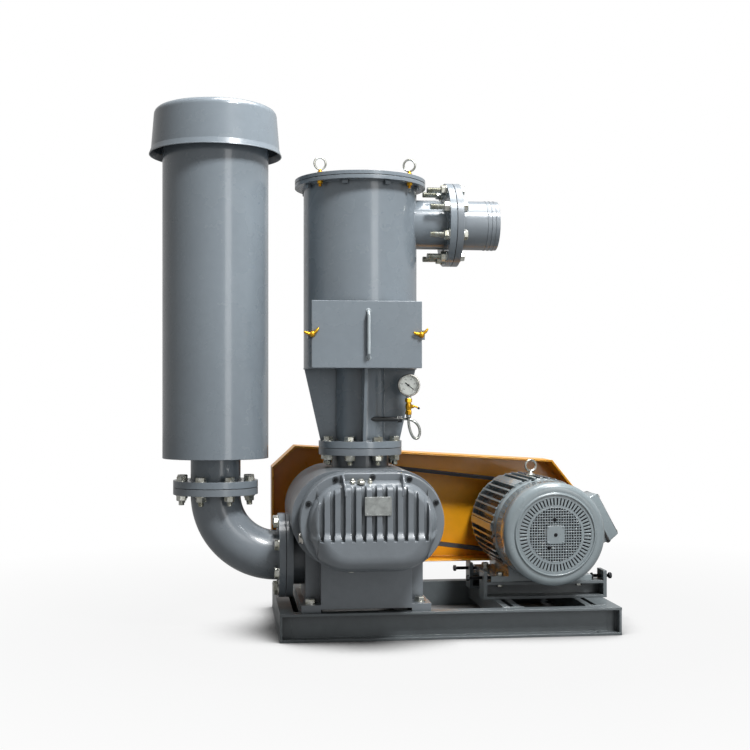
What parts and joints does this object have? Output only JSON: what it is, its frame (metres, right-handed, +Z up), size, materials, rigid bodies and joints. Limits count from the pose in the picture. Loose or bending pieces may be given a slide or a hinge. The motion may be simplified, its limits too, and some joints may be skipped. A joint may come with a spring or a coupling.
{
  "type": "roots vacuum pump",
  "caption": "Belt-driven roots blower on a steel skid, with an inlet filter drum above, a discharge silencer with rain cap beside it and a motor on slide rails.",
  "frame": {"origin": "centre of the anchor hole pattern of the skid, on the floor plane", "axes": "+X along the skid from the silencer to the motor, +Y from the gear cover to the belts, +Z up"},
  "size_m": [1.6047, 0.933, 1.7486],
  "materials": {
    "skid_paint": "dark blue-grey enamel on rolled steel, dusty in the corners",
    "pump_paint": "blue-grey enamel on ribbed iron castings",
    "pipe_paint": "blue-grey enamel on steel pipe and plate flanges",
    "drum_paint": "glossy blue-grey enamel on rolled sheet steel",
    "motor_paint": "light blue-grey enamel on castings and sheet",
    "guard_paint": "yellow-orange enamel on folded sheet, glossy",
    "handle_paint": "grey enamel rubbed bright at the bends",
    "machined_iron": "turned and milled, lightly oiled",
    "machined_steel": "ground and oiled",
    "dark_screws": "blackened socket screws",
    "zinc_fasteners": "bright zinc plating",
    "plate_aluminium": "satin, bare",
    "brass_fittings": "yellow brass and yellow zinc, satin",
    "gasket_sheet": "compressed fibre sheet, edge showing",
    "black_rubber": "matte black rubber",
    "belt_rubber": "matte black belt rubber with a cloth face",
    "filter_paper": "pleated filter medium",
    "dark_pipe": "black pipe with worn threads",
    "siphon_steel": "drawn tube, bright",
    "gauge_steel": "bright pressed case",
    "dial_enamel": "matt white dial",
    "needle_black": "matt black",
    "gauge_lens": "clear flat glass",
    "fan_plastic": "black moulded plastic",
    "pulley_iron": "turned grooves, painted web"
  },
  "bodies": {
    "skid": {"base_frame": "skid_paint", "cross_members": "skid_paint", "pump_casing": "pump_paint", "front_end_plate": "pump_paint", "rear_end_plate": "pump_paint", "bearing_cover": "pump_paint", "gear_cover": "pump_paint", "shaft_seal": "black_rubber", "pump_bearings": "machined_steel", "cover_screws": "dark_screws", "nameplate": "plate_aluminium", "oil_plugs": "zinc_fasteners", "oil_sight_glass": "gauge_steel", "pump_foot_bolts": "zinc_fasteners", "discharge_elbow": "pipe_paint", "flange_gaskets": "gasket_sheet", "flange_bolts": "zinc_fasteners", "silencer_shell": "drum_paint", "silencer_core": "machined_steel", "rain_cap": "drum_paint", "filter_housing": "drum_paint", "filter_seals": "black_rubber", "filter_lid": "drum_paint", "lid_eyebolts": "zinc_fasteners", "filter_element": "filter_paper", "inlet_spigot": "pipe_paint", "gauge_tap": "dark_pipe", "siphon_loop": "siphon_steel", "gauge_cock": "brass_fittings", "gauge_case": "gauge_steel", "gauge_dial": "dial_enamel", "gauge_glass": "gauge_lens", "slide_rails": "skid_paint", "v_belts": "belt_rubber", "belt_guard": "guard_paint"},
    "drive_rotor_set": {"drive_rotor": "machined_iron", "drive_timing_gear": "machined_steel", "pump_pulley": "pulley_iron"},
    "idle_rotor_set": {"idle_rotor": "machined_iron", "idle_timing_gear": "machined_steel"},
    "motor": {"motor_frame": "motor_paint", "motor_shields": "motor_paint", "motor_bearings": "machined_steel", "motor_stator": "machined_steel", "fan_cowl": "motor_paint", "terminal_box": "motor_paint", "terminal_gasket": "black_rubber", "terminal_lid": "motor_paint", "motor_eyebolt": "zinc_fasteners", "adjusting_screws": "zinc_fasteners", "motor_foot_bolts": "zinc_fasteners"},
    "motor_shaft_set": {"motor_rotor": "machined_steel", "cooling_fan": "fan_plastic", "motor_pulley": "pulley_iron"},
    "door": {"access_door": "drum_paint", "door_handle": "handle_paint"},
    "left_wing_bolt": {"wing_bolt_left": "brass_fittings"},
    "right_wing_bolt": {"wing_bolt_right": "brass_fittings"},
    "cock_handle": {"cock_lever": "brass_fittings"},
    "needle": {"gauge_needle": "needle_black"}
  },
  "joints": [
    {"name": "pump_drive_spin", "type": "hinge", "parent": "skid", "child": "drive_rotor_set", "pos_m": [-0.19, -0.118, 0.394], "axis": [0, 1, 0], "continuous": true},
    {"name": "pump_idle_spin", "type": "hinge", "parent": "skid", "child": "idle_rotor_set", "pos_m": [-0.37, -0.118, 0.394], "axis": [0, 1, 0], "continuous": true},
    {"name": "motor_slide", "type": "slide", "parent": "skid", "child": "motor", "axis": [1, 0, 0], "range_m": [0, 0.012], "deforming": ["v_belts"]},
    {"name": "motor_shaft_spin", "type": "hinge", "parent": "motor", "child": "motor_shaft_set", "pos_m": [0.345, 0, 0.328], "axis": [0, 1, 0], "continuous": true},
    {"name": "door_slide", "type": "slide", "parent": "skid", "child": "door", "axis": [0, -1, 0], "range_m": [0, 0.15]},
    {"name": "left_wing_turn", "type": "hinge", "parent": "door", "child": "left_wing_bolt", "pos_m": [-0.456, -0.318, 0.981], "axis": [0, 1, 0], "continuous": true},
    {"name": "right_wing_turn", "type": "hinge", "parent": "door", "child": "right_wing_bolt", "pos_m": [-0.104, -0.318, 0.981], "axis": [0, 1, 0], "continuous": true},
    {"name": "cock_turn", "type": "hinge", "parent": "skid", "child": "cock_handle", "pos_m": [-0.114, -0.202, 0.749], "axis": [1, 0, 0], "range_deg": [0, 90]},
    {"name": "needle_swing", "type": "hinge", "parent": "skid", "child": "needle", "pos_m": [-0.127, -0.202, 0.8195], "axis": [0, -1, 0], "range_deg": [0, 258]}
  ],
  "couplings": [
    {"joint": "pump_idle_spin", "follows": "pump_drive_spin", "ratio": -1},
    {"joint": "motor_shaft_spin", "follows": "pump_drive_spin", "ratio": 0.97183}
  ]
}
